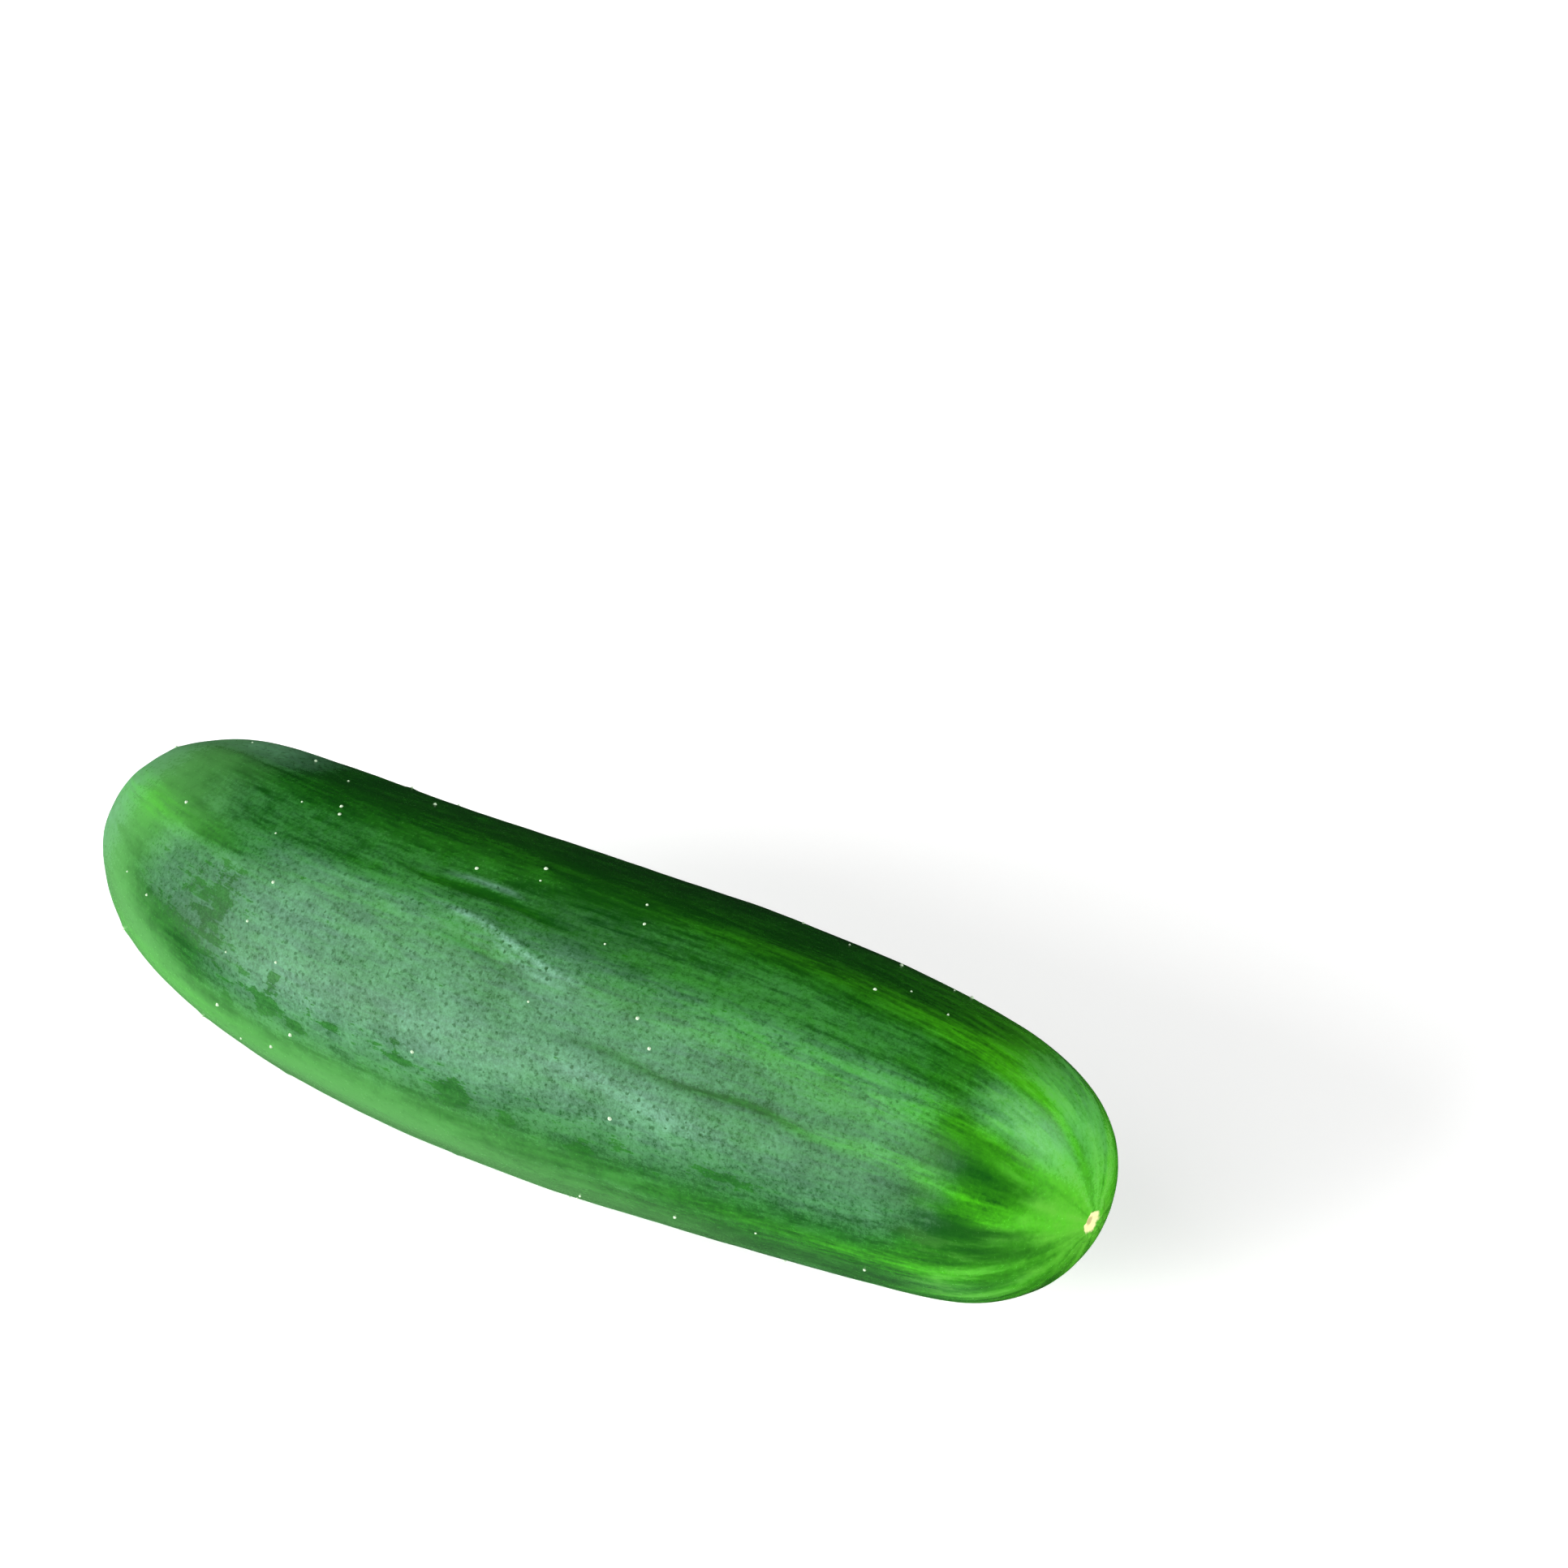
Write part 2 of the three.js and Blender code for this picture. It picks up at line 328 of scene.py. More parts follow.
class FruitShape(bpy.types.PropertyGroup):
    """Sizes of the fruit: the solid's, but for the ribs, which are softer here"""

    length: bpy.props.FloatProperty(
        name="Length", description="From tip to tip, without the stub", default=0.184, unit="LENGTH")
    radius: bpy.props.FloatProperty(
        name="Radius", description="Largest radius", default=0.026, unit="LENGTH")
    taper: bpy.props.FloatProperty(
        name="Taper", description="Share of the radius lost towards either tip", default=0.26)
    stem_fullness: bpy.props.FloatProperty(
        name="Stem fullness", description="How much fuller the stem half is", default=0.017)
    stem_bluntness: bpy.props.FloatProperty(
        name="Stem bluntness", description="Higher is a squarer stem end", default=7.9)
    blossom_bluntness: bpy.props.FloatProperty(
        name="Blossom bluntness", description="Higher is a squarer blossom end", default=12.4)
    bow: bpy.props.FloatProperty(
        name="Bow", description="How far the middle is off the line of the tips",
        default=-0.0078, unit="LENGTH")
    sway: bpy.props.FloatProperty(
        name="Sway", description="How much more the stem half is bowed", default=0.0118, unit="LENGTH")
    rest_depth: bpy.props.FloatProperty(
        name="Rest depth", description="How far the belly is pressed flat", default=0.0009,
        unit="LENGTH")
    rib_count: bpy.props.IntProperty(name="Ribs", description="Ribs round the fruit", default=10)
    rib_height: bpy.props.FloatProperty(
        name="Rib height", description="Half the height of a rib", default=0.00018, unit="LENGTH")
    first_rib: bpy.props.FloatProperty(
        name="First rib", description="Angle of the first rib from the top",
        default=math.radians(-5), subtype="ANGLE")
    lobe_count: bpy.props.IntProperty(name="Lobes", description="Seed chambers", default=3)
    lobe_height: bpy.props.FloatProperty(
        name="Lobe height", description="Half the height of a lobe", default=0.0004, unit="LENGTH")
    first_lobe: bpy.props.FloatProperty(
        name="First lobe", description="Angle of the first lobe from the top",
        default=math.radians(75), subtype="ANGLE")
    rib_wander: bpy.props.FloatProperty(
        name="Rib wander", description="How far the ribs swing to and fro", default=0.09,
        subtype="ANGLE")
    tip_smoothness: bpy.props.FloatProperty(
        name="Tip smoothness", description="Higher carries the ribs closer to the tips", default=6)
    tip_radius: bpy.props.FloatProperty(
        name="Tip radius", description="Nearer to the axis than this, the relief fades",
        default=0.010, unit="LENGTH")
    stub_radius: bpy.props.FloatProperty(
        name="Stub radius", description="Radius of the stem stub", default=0.003, unit="LENGTH")
    stub_height: bpy.props.FloatProperty(
        name="Stub height", description="Height of the stem stub", default=0.0024, unit="LENGTH")
    stem_dimple: bpy.props.FloatProperty(
        name="Stem dimple", description="Depth of the dimple round the stub", default=0.0014,
        unit="LENGTH")
    scar_radius: bpy.props.FloatProperty(
        name="Scar radius", description="Radius of the blossom scar's rim", default=0.0025,
        unit="LENGTH")
    warts_per_rib: bpy.props.IntProperty(
        name="Warts per rib", description="Warts along each rib", default=6)
    wart_radius: bpy.props.FloatProperty(
        name="Wart radius", description="Radius of a middling wart", default=0.00085, unit="LENGTH")
    wart_height: bpy.props.FloatProperty(
        name="Wart height", description="Height of a middling wart", default=0.00036, unit="LENGTH")
    wart_seed: bpy.props.IntProperty(
        name="Wart seed", description="Changes the places of the warts", default=4391)


def colour_property(name, description, default):
    return bpy.props.FloatVectorProperty(
        name=name, description=description, default=default, subtype="COLOR", size=3, min=0, max=1)


class SkinFinish(bpy.types.PropertyGroup):
    """Colours and gloss of the skin"""

    deep: colour_property("Deep green", "Darkest mottling of the body", (0.003, 0.055, 0.004))
    body: colour_property("Body green", "Main green of the body", (0.011, 0.130, 0.007))
    streak: colour_property("Streak", "Light streaks", (0.080, 0.58, 0.008))
    tip: colour_property("Blossom end", "Skin round the blossom scar", (0.115, 0.46, 0.035))
    ray: colour_property("Rays", "Palest lines round the blossom scar", (0.23, 0.64, 0.13))
    # the shoulder colour also paints light from below on the belly
    shoulder: colour_property("Shoulder", "Paler skin of the stem end and belly", (0.07, 0.25, 0.06))
    # the bloom colour also paints the softboxes' highlight and sheens on the skin
    bloom_and_painted_sheen: colour_property("Bloom", "Waxy film and mist on the skin", (0.25, 0.50, 0.38))
    scar: colour_property("Scar", "Corky tissue of the blossom scar", (0.90, 0.85, 0.42))
    cork: colour_property("Cork", "Dry middle of the scar and the stub", (0.33, 0.25, 0.09))
    spine: colour_property("Spine", "Spine tips", (0.55, 0.72, 0.5))
    gloss_roughness: bpy.props.FloatProperty(
        name="Wet roughness", description="Roughness where the skin is wiped or wet", default=0.25)
    bloom_and_sheen_strength: bpy.props.FloatProperty(
        name="Bloom strength", description="How much of its colour the waxy film gives", default=0.21)
    bloom_roughness: bpy.props.FloatProperty(
        name="Bloom roughness", description="Roughness of the waxy film", default=0.36)
    spine_roughness: bpy.props.FloatProperty(
        name="Spine roughness", description="Roughness of the spines", default=0.3)
    grain_strength: bpy.props.FloatProperty(
        name="Grain strength", description="How strongly the grain and pores show", default=0.45)
    grain_depth: bpy.props.FloatProperty(
        name="Grain depth", description="Depth of the grain and pores", default=0.00012,
        unit="LENGTH")


class StageSettings(bpy.types.PropertyGroup):
    """Floor, lights and camera"""

    floor: colour_property("Floor", "Colour of the floor", (0.88, 0.88, 0.87))
    floor_shade: colour_property("Floor shade", "Colour of its faint unevenness", (0.8, 0.8, 0.8))
    world: colour_property("World", "Even light from all round", (0.011, 0.012, 0.012))
    glow: colour_property("Glow", "Light from the front below", (0.15, 0.28, 0.16))
    floor_light: bpy.props.FloatProperty(
        name="Floor light", description="How much the floor shines by itself", default=0.5)
    front_power: bpy.props.FloatProperty(
        name="Front softbox", description="Its power", default=11,
        unit="POWER")
    end_power: bpy.props.FloatProperty(
        name="End softbox", description="Its power", default=1.6,
        unit="POWER")
    spot_power: bpy.props.FloatProperty(
        name="Stem end spot", description="Its power", default=7.5,
        unit="POWER")
    front_daylight: bpy.props.FloatProperty(
        name="Front daylight", description="Its strength in watts per square metre", default=6.2)
    end_daylight: bpy.props.FloatProperty(
        name="End daylight", description="Its strength in watts per square metre", default=2.9)
    azimuth: bpy.props.FloatProperty(
        name="Azimuth", description="Camera's turn from the front towards the blossom end",
        default=math.radians(34.87), subtype="ANGLE")
    elevation: bpy.props.FloatProperty(
        name="Elevation", description="Camera's height above the floor, as an angle",
        default=math.radians(36), subtype="ANGLE")
    distance: bpy.props.FloatProperty(
        name="Distance", description="From the camera to the point it looks at", default=0.62,
        unit="LENGTH")
    target: bpy.props.FloatVectorProperty(
        name="Target", description="Point on the floor that the camera looks at",
        default=(-0.0258, 0.0984, 0), subtype="TRANSLATION", unit="LENGTH")
    lens: bpy.props.FloatProperty(name="Lens", description="In mm, on a 36 mm sensor", default=77.22)


# ---------------------------------------------------------------------------------------- fruit

def girth(shape, u):
    return shape.radius * (1 - shape.taper * u * u - shape.stem_fullness * u)


def bluntness(shape, u):
    return np.where(u < 0, shape.stem_bluntness, shape.blossom_bluntness)


def flesh_radius(shape, u):
    """Radius of the smooth fruit at u, from -1 at the stem end to 1 at the blossom end"""
    return girth(shape, u) * np.sqrt(np.maximum(0, 1 - np.abs(u) ** bluntness(shape, u)))


def relief(shape, u, angle):
    """Height of the ribs and lobes above the smooth fruit"""
    fade = 1 - np.abs(u) ** shape.tip_smoothness
    turned = angle + shape.rib_wander * np.sin(3 * u + 2 * np.cos(angle))
    ribs = shape.rib_height * np.cos(shape.rib_count * (turned - shape.first_rib))
    lobes = shape.lobe_height * np.cos(shape.lobe_count * (angle - shape.first_lobe))
    return fade * (ribs + lobes)


def place(shape, along, radius, angle):
    """Sets points of the straight fruit on the bowed one; the angle goes from the top to the front"""
    half = shape.length / 2
    u = np.clip(along / half, -1, 1)
    beyond = along - u * half
    slope = (shape.sway * (1 - 3 * u * u) - 2 * shape.bow * u) / half
    stretch = np.hypot(1, slope)
    cos_lean, sin_lean = 1 / stretch, slope / stretch
    front = radius * np.sin(angle)
    x = u * half + beyond * cos_lean + front * sin_lean
    y = (1 - u * u) * (shape.bow + shape.sway * u) + beyond * sin_lean - front * cos_lean
    z = shape.radius - shape.rest_depth + radius * np.cos(angle)
    return np.stack([x, y, np.maximum(0, z)], axis=-1)


def bump(distance, width):
    """A bell shape of height 1"""
    return np.exp(-(distance / width) ** 2)


def smoothstep(value, low, high):
    """0 at low, 1 at high and smooth between them; low may be the higher one"""
    share = np.clip((value - low) / (high - low), 0, 1)
    return share * share * (3 - 2 * share)


def wavy(angle, waves):
    """The share of its radius that an outline with waves has at an angle"""
    return 1 + sum(height * np.cos(count * angle + math.radians(phase))
                   for count, height, phase in waves)


def turn_between(angle, other):
    """Signed angle from the other one, the short way round"""
    return (angle - other + np.pi) % (2 * np.pi) - np.pi


def random_source(seed):
    """The same repeatable numbers from 0 to 1 as the solid's"""
    state = seed
    while True:
        state = state * 48271 % 2147483647
        yield state / 2147483647


def warts(shape):
    """Places of the warts: along the fruit in metres, angle and size"""
    random = random_source(shape.wart_seed)
    first, last = WART_REACH
    smallest, largest = WART_SIZES
    places = []
    for rib in range(shape.rib_count):
        for k in range(shape.warts_per_rib):
            share = (k + 0.5 * (rib % 2)) / shape.warts_per_rib
            u = first + (last - first) * share ** WART_CROWDING
            u += WART_SCATTER * (2 * next(random) - 1)
            ring = math.floor(math.acos(-u) / math.pi * CELLS_ALONG)
            turn = shape.first_rib / (2 * math.pi) + rib / shape.rib_count
            column = math.floor(turn * CELLS_AROUND + WART_COLUMNS * next(random) - 1)
            ends = [-math.cos(math.pi * edge / CELLS_ALONG) for edge in (ring, ring + 1)]
            angle = 2 * math.pi * (column + 0.5) / CELLS_AROUND
            size = smallest + (largest - smallest) * next(random)
            places.append((sum(ends) / 2 * shape.length / 2, angle, size))
    return places


def outline(shape):
    """Half the outline of the straight fruit: radius and place along the axis of each ring"""
    stub, height = shape.stub_radius, shape.stub_height
    stem_top = -shape.length / 2 + shape.stem_dimple - height
    rings = [(stub * share, stem_top + STUB_DOME * height * share ** 4) for share in STUB_TOP]
    rings += [(stub * share, stem_top + height * down) for share, down in STUB_SIDE]
    # the flesh, with rings closer together near the tips
    u = -np.cos(np.linspace(0, np.pi, OUTLINE_SAMPLES))
    along, radius = u * shape.length / 2, flesh_radius(shape, u)
    distance = np.concatenate([[0], np.cumsum(np.hypot(np.diff(along), np.diff(radius)))])
    total = distance[-1]
    near_tip = np.arange(stub * FLESH_START, TIP_ZONE, TIP_STEP)
    middle = np.arange(TIP_ZONE, total - TIP_ZONE, SKIN_STEP)
    far_tip = total - np.arange(TIP_ZONE, TIP_STEP / 2, -TIP_STEP)
    for step in np.concatenate([near_tip, middle, far_tip]):
        rings.append((np.interp(step, distance, radius), np.interp(step, distance, along)))
    rings.append((0.0, shape.length / 2))
    return np.array(rings)


def tip_detail(shape, radius, along, angle):
    """Shift along the axis of the skin round the stem stub and on the blossom scar"""
    dimple = shape.stem_dimple * bump(radius, DIMPLE_RADIUS)
    folds = np.cos(PLEATS * angle + PLEAT_SWING * np.sin(3 * angle))
    pleats = PLEAT_HEIGHT * folds * bump(radius - PLEAT_RADIUS, PLEAT_WIDTH)
    rim = RIM_HEIGHT * bump(radius - shape.scar_radius * wavy(angle, RIM_WAVES), RIM_WIDTH)
    pit = PIT_DEPTH * bump(radius, PIT_WIDTH)
    nub = NUB_HEIGHT * bump(radius, NUB_WIDTH)
    split = np.maximum(0, np.cos(CRACKS * (angle - FIRST_CRACK))) ** CRACK_SHARPNESS
    cracks = CRACK_DEPTH * split * bump(radius - CRACK_RADIUS, CRACK_WIDTH)
    stem_end = np.where(on_stub(shape, along, radius), 0, dimple - pleats)
    return np.where(along < 0, stem_end, rim - pit + nub - cracks)


def crease_cover(start, end, half_width, along, radius, angle):
    """How much a crease between two places takes part in a point, from 0 to 1"""
    share = (along / MM - start[0]) / (end[0] - start[0])
    centre = np.radians(start[1] + share * (end[1] - start[1]))
    centre += CREASE_SWING * np.sin(along / CREASE_WAVE)
    across = turn_between(angle, centre) * radius
    return bump(across, half_width * MM) * np.exp(-2 * (2 * share - 1) ** 4)


def fine_relief(shape, along, radius, angle):
    """Height of what is too fine for the solid: creases and rounded warts"""
    height = np.zeros_like(along)
    for start, end, half_width, rise, _ in CREASES:
        height += rise * MM * crease_cover(start, end, half_width, along, radius, angle)
    for place_along, turn, size in warts(shape):
        across = turn_between(angle, turn) * radius
        distance = np.hypot(along - place_along, across)
        width = WART_SOFTNESS * shape.wart_radius * size
        height += WART_LOWNESS * shape.wart_height * size * bump(distance, width)
    return height


def lumps(points):
    """Height of the slow unevenness at points of the straight fruit in mm"""
    return sum(height * np.array([noise.noise(Vector(p) * rate + Vector(start)) for p in points])
               for rate, height, start in LUMPS)


def unrolled(shape, along, angle):
    """Coordinates on the straight fruit in mm, for what varies over the skin"""
    return np.stack([shape.radius * np.cos(angle), shape.radius * np.sin(angle), along], axis=-1) / MM


def skin_points(shape, along, radius, angle):
    """Points of the finished skin, of which the smooth straight fruit's places are given"""
    u = np.clip(along / (shape.length / 2), -1, 1)
    fade = np.minimum(1, radius / shape.tip_radius)
    height = relief(shape, u, angle) * fade
    fine = fine_relief(shape, along, radius, angle) + lumps(unrolled(shape, along, angle))
    height += fine * fade ** 2
    stub_bulge = radius * (wavy(angle, STUB_WAVES) - 1)
    height = np.where(on_stub(shape, along, radius), stub_bulge, height)
    shift = tip_detail(shape, radius, along, angle)
    return place(shape, along + shift, radius + height, angle) + centring(shape)


def on_stub(shape, along, radius):
    return (along < 0) & (radius < shape.stub_radius * STUB_EDGE)


def centring(shape):
    """Shift that centres the ribbed fruit on the solid's box"""
    radius, along = outline(shape).T[:, :, None]
    angle = np.linspace(0, 2 * np.pi, 2 * CELLS_AROUND + 1)[None, :]
    height = relief(shape, np.clip(along / (shape.length / 2), -1, 1), angle)
    ribbed = radius + height * np.minimum(1, radius / shape.tip_radius)
    shift = tip_detail(shape, radius, along, angle)
    points = place(shape, along + shift, ribbed, angle).reshape(-1, 3)
    low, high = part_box(NODE)
    middle = (points.min(axis=0) + points.max(axis=0)) / 2
    return np.array([(low.x + high.x) / 2 - middle[0], (low.y + high.y) / 2 - middle[1], 0])


def streak_tint(along, radius, angle):
    """How much of the light streaks' colour a point has, from 0 to 1"""
    rest = np.ones_like(along)
    for turn, start, end, half_width, lightness in STREAKS:
        reach = np.clip((along / MM - start) / (end - start), 0, 1)
        centre = math.radians(turn) + STREAK_SWING * np.sin(along / STREAK_WAVE + turn)
        across = turn_between(angle, centre) * np.maximum(radius, STREAK_TAPER_RADIUS)
        cover = bump(across, half_width * MM * (0.7 + 0.4 * reach))
        rest *= 1 - lightness * cover * reach ** 1.5
    return 1 - rest


def patches(table, along, angle):
    """Sum of soft patches: middle along the fruit, angle, half length, half width and amount"""
    total = np.zeros_like(along)
    for middle, turn, half_length, half_width, amount in table:
        across = turn_between(angle, math.radians(turn)) * MEAN_RADIUS
        total += amount * bump(along / MM - middle, half_length) * bump(across, half_width)
    return total


def pale_skin_and_painted_light(along, angle):
    """How pale the skin is at the stem end and towards the belly, there partly painted light from
    below
    """
    belly = (0.5 + 0.5 * np.cos(turn_between(angle, BELLY_ANGLE))) ** BELLY_NARROWNESS
    return (smoothstep(along / MM, *PALE_STEM_END)
            + BELLY_PALENESS_AND_PAINTED_LIGHT * belly * smoothstep(along / MM, *PALE_AND_PAINTED_LIGHT_BELLY))


def film_and_painted_sheen_thickness(along, radius, angle):
    """How thick the waxy film is, 1 where it is thickest; partly painted highlight and sheen"""
    thickness = np.zeros_like(along)
    place_along = along / MM
    for (first, first_fade), (last, last_fade), (start, start_fade), (end, end_fade), most in FILMS_AND_PAINTED_SHEEN:
        middle = (first + last) / 2
        turn = middle + np.degrees(turn_between(angle, math.radians(middle)))
        inside = (smoothstep(turn, first - first_fade / 2, first + first_fade / 2)
                  * smoothstep(turn, last + last_fade / 2, last - last_fade / 2)
                  * smoothstep(place_along, start - start_fade / 2, start + start_fade / 2)
                  * smoothstep(place_along, end + end_fade / 2, end - end_fade / 2))
        thickness += most * inside
    # the creases' wax: painted highlight on the ridges, painted shade in the furrows
    for start, end, half_width, _, wax_and_painted_highlight in CREASES:
        thickness += wax_and_painted_highlight * crease_cover(start, end, 0.7 * half_width, along, radius, angle)
    return np.maximum(0, thickness)


def add_numbers(mesh, name, values):
    attribute = mesh.attributes.new(name, "FLOAT", "POINT")
    attribute.data.foreach_set("value", np.asarray(values, dtype=np.float32))


def add_vectors(mesh, name, values):
    attribute = mesh.attributes.new(name, "FLOAT_VECTOR", "POINT")
    attribute.data.foreach_set("vector", np.asarray(values, dtype=np.float32).ravel())


def grid_faces(rings, columns):
    """Faces of a closed grid whose first and last ring are single points, and their map corners"""
    def vertex(ring, column):
        if ring == 0:
            return 0
        if ring == rings - 1:
            return 1 + (rings - 2) * columns
        return 1 + (ring - 1) * columns + column % columns

    faces, corners = [], []
    for ring in range(rings - 1):
        for column in range(columns):
            left, right = column / columns, (column + 1) / columns
            middle = (left + right) / 2
            if ring == 0:
                faces.append((vertex(0, 0), vertex(1, column + 1), vertex(1, column)))
                corners.append(((middle, 0), (right, 1), (left, 1)))
            elif ring == rings - 2:
                faces.append((vertex(ring, column), vertex(ring, column + 1), vertex(ring + 1, 0)))
                corners.append(((left, ring), (right, ring), (middle, ring + 1)))
            else:
                faces.append((vertex(ring, column), vertex(ring, column + 1),
                              vertex(ring + 1, column + 1), vertex(ring + 1, column)))
                corners.append(((left, ring), (right, ring), (right, ring + 1), (left, ring + 1)))
    return faces, corners


def link_object(name, mesh):
    thing = bpy.data.objects.new(name, mesh)
    bpy.context.scene.collection.objects.link(thing)
    return thing


def build_skin(shape):
    """The skin as one closed mesh, with what the finish needs to know stored on its points"""
    rings = outline(shape)
    count = len(rings)
    turns = np.pi + 2 * np.pi * np.arange(AROUND) / AROUND
    ring_of = np.concatenate([[0], np.repeat(np.arange(1, count - 1), AROUND), [count - 1]])
    angle = np.concatenate([[0], np.tile(turns, count - 2), [0]])
    radius, along = rings[ring_of].T
    points = skin_points(shape, along, radius, angle)

    mesh = bpy.data.meshes.new("skin")
    faces, corners = grid_faces(count, AROUND)
    mesh.from_pydata(points.tolist(), [], faces)
    steps = np.concatenate([[0], np.cumsum(np.hypot(*np.diff(rings, axis=0).T))])
    steps /= steps[-1]
    layer = mesh.uv_layers.new(name="OFBake")
    flat = [(across, steps[ring]) for face in corners for across, ring in face]
    layer.data.foreach_set("uv", np.asarray(flat, dtype=np.float32).ravel())
    mesh.polygons.foreach_set("use_smooth", np.ones(len(mesh.polygons), dtype=bool))

    add_vectors(mesh, "place", points / MM)
    add_vectors(mesh, "straight", unrolled(shape, along, angle))
    add_numbers(mesh, "streak", streak_tint(along, radius, angle))
    # film thickness, partly painted highlight and sheen
    add_numbers(mesh, "film_and_painted_sheen", film_and_painted_sheen_thickness(along, radius, angle))
    add_numbers(mesh, "worn", patches(WORN, along, angle))
    # paleness, on the belly partly painted light from below
    add_numbers(mesh, "pale_and_painted_light", pale_skin_and_painted_light(along, angle))
    # lighter and darker patches: the skin's own tone, painted shade and painted light
    add_numbers(mesh, "shade", patches(TONE_AND_PAINTED_SHADE_PATCHES, along, angle))
    add_numbers(mesh, "to_scar", np.where(along > 0, radius, 1) / MM)
    add_numbers(mesh, "stub", on_stub(shape, along, radius).astype(float))
    mesh.update()
    return link_object("skin", mesh)


def spine_places(shape):
    """Places of the spines: along the fruit in metres, angle and size"""
    random = np.random.default_rng(SPINE_SEED)
    places = [place_of for place_of in warts(shape) if random.random() < KEPT_SPINES]
    for _ in range(STRAY_SPINES):
        along = shape.length / 2 * random.uniform(*STRAY_REACH)
        places.append((along, random.uniform(0, 2 * np.pi), random.uniform(*STRAY_SIZES)))
    return np.array(places).T


def spine_roots(shape, along, angle):
    """Points of the skin, and the directions out of it, from a short step along it and one round it"""
    step = 0.3 * MM
    half = shape.length / 2
    radius = flesh_radius(shape, along / half)
    root = skin_points(shape, along, radius, angle)
    ahead = skin_points(shape, along + step, flesh_radius(shape, (along + step) / half), angle)
    beside = skin_points(shape, along, radius, angle + step / radius)
    out = np.cross(beside - root, ahead - root)
    return root, out / np.linalg.norm(out, axis=1, keepdims=True)


def add_spine(points, faces, centre, normal, radius):
    """Adds a short blunt spine to the points and faces of a mesh"""
    first = len(points)
    turn = Vector(normal).to_track_quat("Z", "X")
    for reach, rise in SPINE_PROFILE:
        for corner in range(SPINE_SIDES):
            spin = 2 * math.pi * corner / SPINE_SIDES
            local = Vector((reach * math.cos(spin), reach * math.sin(spin), rise))
            points.append(Vector(centre) + turn @ local * radius)
    points.append(Vector(centre) + turn @ Vector((0, 0, 1)) * radius)
    top = len(points) - 1
    for corner in range(SPINE_SIDES):
        following = (corner + 1) % SPINE_SIDES
        for ring in range(len(SPINE_PROFILE) - 1):
            low, high = first + ring * SPINE_SIDES, first + (ring + 1) * SPINE_SIDES
            faces.append((low + corner, low + following, high + following, high + corner))
        faces.append((top - SPINE_SIDES + corner, top - SPINE_SIDES + following, top))
    faces.append(tuple(first + corner for corner in reversed(range(SPINE_SIDES))))


def build_spines(shape):
    """Those spines that are left on the warts, and some apart from them"""
    along, angle, size = spine_places(shape)
    points, faces = [], []
    for root, out, scale in zip(*spine_roots(shape, along, angle), size):
        if root[2] >= LOWEST_SPINE:
            add_spine(points, faces, root, out, SPINE_RADIUS * scale)
    mesh = bpy.data.meshes.new("spines")
    mesh.from_pydata(points, [], faces)
    mesh.polygons.foreach_set("use_smooth", np.ones(len(mesh.polygons), dtype=bool))
    mesh.update()
    return link_object("spines", mesh)


# --------------------------------------------------------------------------------------- finish

class Value:
    """A shader socket that arithmetic works on: each operation adds a Math node"""

    def __init__(self, finish, socket):
        self.finish = finish
        self.socket = socket

    def math(self, operation, first, second):
        return self.finish.node("ShaderNodeMath", {"operation": operation}, {0: first, 1: second})

    def __add__(self, other):
        return self.math("ADD", self, other)

    __radd__ = __add__

    def __sub__(self, other):
        return self.math("SUBTRACT", self, other)

    def __rsub__(self, other):
        return self.math("SUBTRACT", other, self)

    def __mul__(self, other):
        return self.math("MULTIPLY", self, other)

    __rmul__ = __mul__


class Finish:
    """A material or world under construction"""

    def __init__(self, owner):
        self.owner = owner
        owner.use_nodes = True
        self.tree = owner.node_tree
        self.tree.nodes.clear()

    def node(self, kind, settings, inputs, output=0):
        """Adds a node with its settings and the values or links of its sockets; gives one output"""
        node = self.tree.nodes.new(kind)
        for name, setting in settings.items():
            setattr(node, name, setting)
        for key, value in inputs.items():
            if isinstance(value, Value):
                self.tree.links.new(value.socket, node.inputs[key])
            else:
                node.inputs[key].default_value = value
        return Value(self, node.outputs[output])

    def number(self, name):
        return self.node("ShaderNodeAttribute", {"attribute_name": name}, {}, "Fac")

    def vector(self, name):
        return self.node("ShaderNodeAttribute", {"attribute_name": name}, {}, "Vector")

    def noise(self, vector, scale, detail, roughness):
        return self.node("ShaderNodeTexNoise", {},
                         {"Vector": vector, "Scale": scale, "Detail": detail, "Roughness": roughness},
                         "Fac")

    def stretched_noise(self, vector, across, along, detail, roughness):
        """Noise with its own rates across and along the straight fruit"""
        scaled = self.node("ShaderNodeVectorMath", {"operation": "MULTIPLY"},
                           {0: vector, 1: (across, across, along)})
        return self.noise(scaled, 1, detail, roughness)

    def step(self, value, low, high):
        """0 at low, 1 at high and smooth between them; low may be the higher one"""
        return self.node("ShaderNodeMapRange", {"interpolation_type": "SMOOTHSTEP"},
                         {"Value": value, "From Min": low, "From Max": high})

    def blend(self, share, first, second):
        """A number between two others"""
        return first + share * (second - first)

    def mix(self, share, first, second):
        """A colour between two others; a colour is a Value or three numbers"""
        first, second = (c if isinstance(c, Value) else (*c, 1.0) for c in (first, second))
        return self.node("ShaderNodeMix", {"data_type": "RGBA"},
                         {0: share, 6: first, 7: second}, 2)

    def link_output(self, shader, kind="ShaderNodeOutputMaterial"):
        self.tree.links.new(shader.socket, self.tree.nodes.new(kind).inputs["Surface"])
        return self.owner


